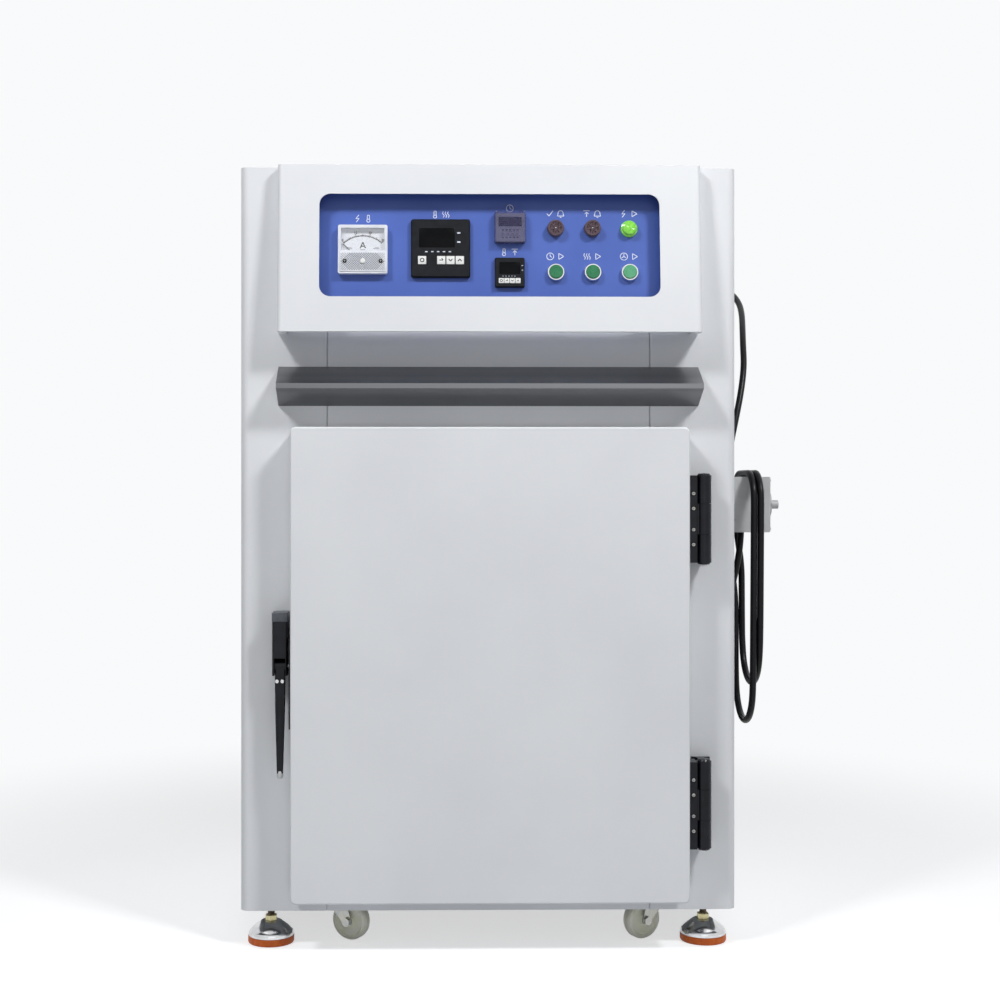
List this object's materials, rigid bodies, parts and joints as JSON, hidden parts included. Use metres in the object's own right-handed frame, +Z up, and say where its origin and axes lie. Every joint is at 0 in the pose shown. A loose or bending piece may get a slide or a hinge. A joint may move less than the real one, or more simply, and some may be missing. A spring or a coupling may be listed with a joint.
{
  "type": "forced air drying oven",
  "caption": "Floor-standing forced air drying oven: insulated cabinet with a side-hinged door, sloping control hood, heat deflector, shelves, fan, casters and levelling feet.",
  "frame": {"origin": "middle of the footprint, cord left out, at floor level", "axes": "+Z up, -Y towards the user (the door's side), +X to the right seen from the front"},
  "size_m": [0.9178, 0.7664, 1.3188],
  "materials": {
    "white_paint": "satin",
    "inner_paint": "satin",
    "blue_panel": "satin",
    "stainless": "satin",
    "zinc": "satin",
    "chrome": "polished",
    "steel": "satin",
    "motor_grey": "matte",
    "wool": "matte",
    "silicone": "matte",
    "black_metal": "gloss",
    "black_plastic": "satin",
    "white_plastic": "gloss",
    "grey_plastic": "satin",
    "orange_rubber": "matte",
    "nylon": "satin",
    "green_plastic": "gloss",
    "lime_lens": "gloss",
    "violet_lens": "gloss",
    "clear": "gloss",
    "cord_rubber": "satin"
  },
  "bodies": {
    "casing": {"air_ducts": "stainless", "alarm_buzzers": "violet_lens", "ammeter_case": "white_plastic", "ammeter_lens": "clear", "back_panel": "white_paint", "base_frame": "inner_paint", "button_bezels": "chrome", "cable_gland": "black_plastic", "caster_mounts": "zinc", "chamber_liner": "stainless", "control_hood": "white_paint", "control_panel": "blue_panel", "fan_motor": "motor_grey", "foot_pads": "orange_rubber", "foot_stems": "chrome", "front_panels": "white_paint", "heat_deflector": "stainless", "heater_elements": "steel", "hinge_frame_leaves": "black_metal", "insulation": "wool", "isolator_housing": "grey_plastic", "latch_body": "black_metal", "lifting_eyes": "black_metal", "limit_controller": "black_plastic", "motor_deck": "inner_paint", "power_cord": "cord_rubber", "power_cord_coil": "cord_rubber", "power_lamp": "lime_lens", "power_plug": "black_plastic", "side_panel_left": "white_paint", "side_panel_right": "white_paint", "temperature_controller": "black_plastic", "timer_module": "black_plastic", "top_panel": "white_paint"},
    "door": {"door_skin": "white_paint", "door_liner": "stainless", "door_insulation": "wool", "door_seal": "silicone", "hinge_door_leaves": "black_metal", "latch_keeper": "black_metal"},
    "latch_lever": {"latch_lever": "black_metal"},
    "latch_bolt": {"latch_bolt": "steel"},
    "fan": {"fan_impeller": "zinc", "fan_shaft": "steel"},
    "shelf_lower": {"shelf_lower": "stainless"},
    "shelf_upper": {"shelf_upper": "stainless"},
    "ammeter_needle": {"ammeter_needle": "black_plastic"},
    "timer_cover": {"timer_cover": "clear"},
    "isolator_knob": {"isolator_knob": "grey_plastic"},
    "button_timer": {"button_timer": "green_plastic"},
    "button_heat": {"button_heat": "green_plastic"},
    "button_fan": {"button_fan": "green_plastic"},
    "caster_fork_front_left": {"caster_fork_front_left": "zinc"},
    "caster_wheel_front_left": {"caster_wheel_front_left": "nylon"},
    "caster_fork_front_right": {"caster_fork_front_right": "zinc"},
    "caster_wheel_front_right": {"caster_wheel_front_right": "nylon"},
    "caster_fork_rear_left": {"caster_fork_rear_left": "zinc"},
    "caster_wheel_rear_left": {"caster_wheel_rear_left": "nylon"},
    "caster_fork_rear_right": {"caster_fork_rear_right": "zinc"},
    "caster_wheel_rear_right": {"caster_wheel_rear_right": "nylon"}
  },
  "joints": [
    {"name": "door_swing", "type": "hinge", "parent": "casing", "child": "door", "pos_m": [0.2922, -0.36625, 0.24], "axis": [0, 0, 1], "range_deg": [0, 120]},
    {"name": "lever_pull", "type": "hinge", "parent": "casing", "child": "latch_lever", "pos_m": [-0.3903, -0.35625, 0.463], "axis": [-1, 0, 0], "range_deg": [0, 50], "stiffness_Nm_per_rad": 0.5, "springref_deg": -17.19},
    {"name": "bolt_slide", "type": "slide", "parent": "casing", "child": "latch_bolt", "axis": [-1, 0, 0], "range_m": [0, 0.00405]},
    {"name": "fan_spin", "type": "hinge", "parent": "casing", "child": "fan", "pos_m": [-0.0528, -0.03825, 0.708], "axis": [0, 0, 1], "continuous": true},
    {"name": "shelf_lower_slide", "type": "slide", "parent": "casing", "child": "shelf_lower", "axis": [0, -1, 0], "range_m": [0, 0.015]},
    {"name": "shelf_upper_slide", "type": "slide", "parent": "casing", "child": "shelf_upper", "axis": [0, -1, 0], "range_m": [0, 0.015]},
    {"name": "caster_swivel_front_left", "type": "hinge", "parent": "casing", "child": "caster_fork_front_left", "pos_m": [-0.2943, -0.27825, 0.093], "axis": [0, 0, 1], "continuous": true},
    {"name": "caster_roll_front_left", "type": "hinge", "parent": "caster_fork_front_left", "child": "caster_wheel_front_left", "pos_m": [-0.27841, -0.2867, 0.034], "axis": [0.4695, 0.8829, 0], "continuous": true},
    {"name": "caster_swivel_front_right", "type": "hinge", "parent": "casing", "child": "caster_fork_front_right", "pos_m": [0.2192, -0.27825, 0.093], "axis": [0, 0, 1], "continuous": true},
    {"name": "caster_roll_front_right", "type": "hinge", "parent": "caster_fork_front_right", "child": "caster_wheel_front_right", "pos_m": [0.20331, -0.2867, 0.034], "axis": [0.4695, -0.8829, 0], "continuous": true},
    {"name": "caster_swivel_rear_left", "type": "hinge", "parent": "casing", "child": "caster_fork_rear_left", "pos_m": [-0.2943, 0.32175, 0.093], "axis": [0, 0, 1], "continuous": true},
    {"name": "caster_roll_rear_left", "type": "hinge", "parent": "caster_fork_rear_left", "child": "caster_wheel_rear_left", "pos_m": [-0.27841, 0.3133, 0.034], "axis": [0.4695, 0.8829, 0], "continuous": true},
    {"name": "caster_swivel_rear_right", "type": "hinge", "parent": "casing", "child": "caster_fork_rear_right", "pos_m": [0.2192, 0.32175, 0.093], "axis": [0, 0, 1], "continuous": true},
    {"name": "caster_roll_rear_right", "type": "hinge", "parent": "caster_fork_rear_right", "child": "caster_wheel_rear_right", "pos_m": [0.20331, 0.3133, 0.034], "axis": [0.4695, -0.8829, 0], "continuous": true},
    {"name": "button_timer_press", "type": "slide", "parent": "casing", "child": "button_timer", "axis": [0, 0.9958, -0.0915], "range_m": [0, 0.004], "stiffness_N_per_m": 300, "springref_m": -0.002},
    {"name": "button_heat_press", "type": "slide", "parent": "casing", "child": "button_heat", "axis": [0, 0.9958, -0.0915], "range_m": [0, 0.004], "stiffness_N_per_m": 300, "springref_m": -0.002},
    {"name": "button_fan_press", "type": "slide", "parent": "casing", "child": "button_fan", "axis": [0, 0.9958, -0.0915], "range_m": [0, 0.004], "stiffness_N_per_m": 300, "springref_m": -0.002},
    {"name": "needle_swing", "type": "hinge", "parent": "casing", "child": "ammeter_needle", "pos_m": [-0.2578, -0.34878, 1.11307], "axis": [0, 0.9958, -0.0915], "range_deg": [0, 90], "stiffness_Nm_per_rad": 0.0005, "springref_deg": -17.19},
    {"name": "timer_cover_flip", "type": "hinge", "parent": "casing", "child": "timer_cover", "pos_m": [-0.0188, -0.34498, 1.19808], "axis": [-1, 0, 0], "range_deg": [0, 85]},
    {"name": "isolator_turn", "type": "hinge", "parent": "casing", "child": "isolator_knob", "pos_m": [0.4428, -0.15825, 0.7204], "axis": [1, 0, 0], "range_deg": [0, 90]}
  ],
  "couplings": [
    {"joint": "bolt_slide", "follows": "lever_pull", "m_per_rad": 0.0045837}
  ]
}
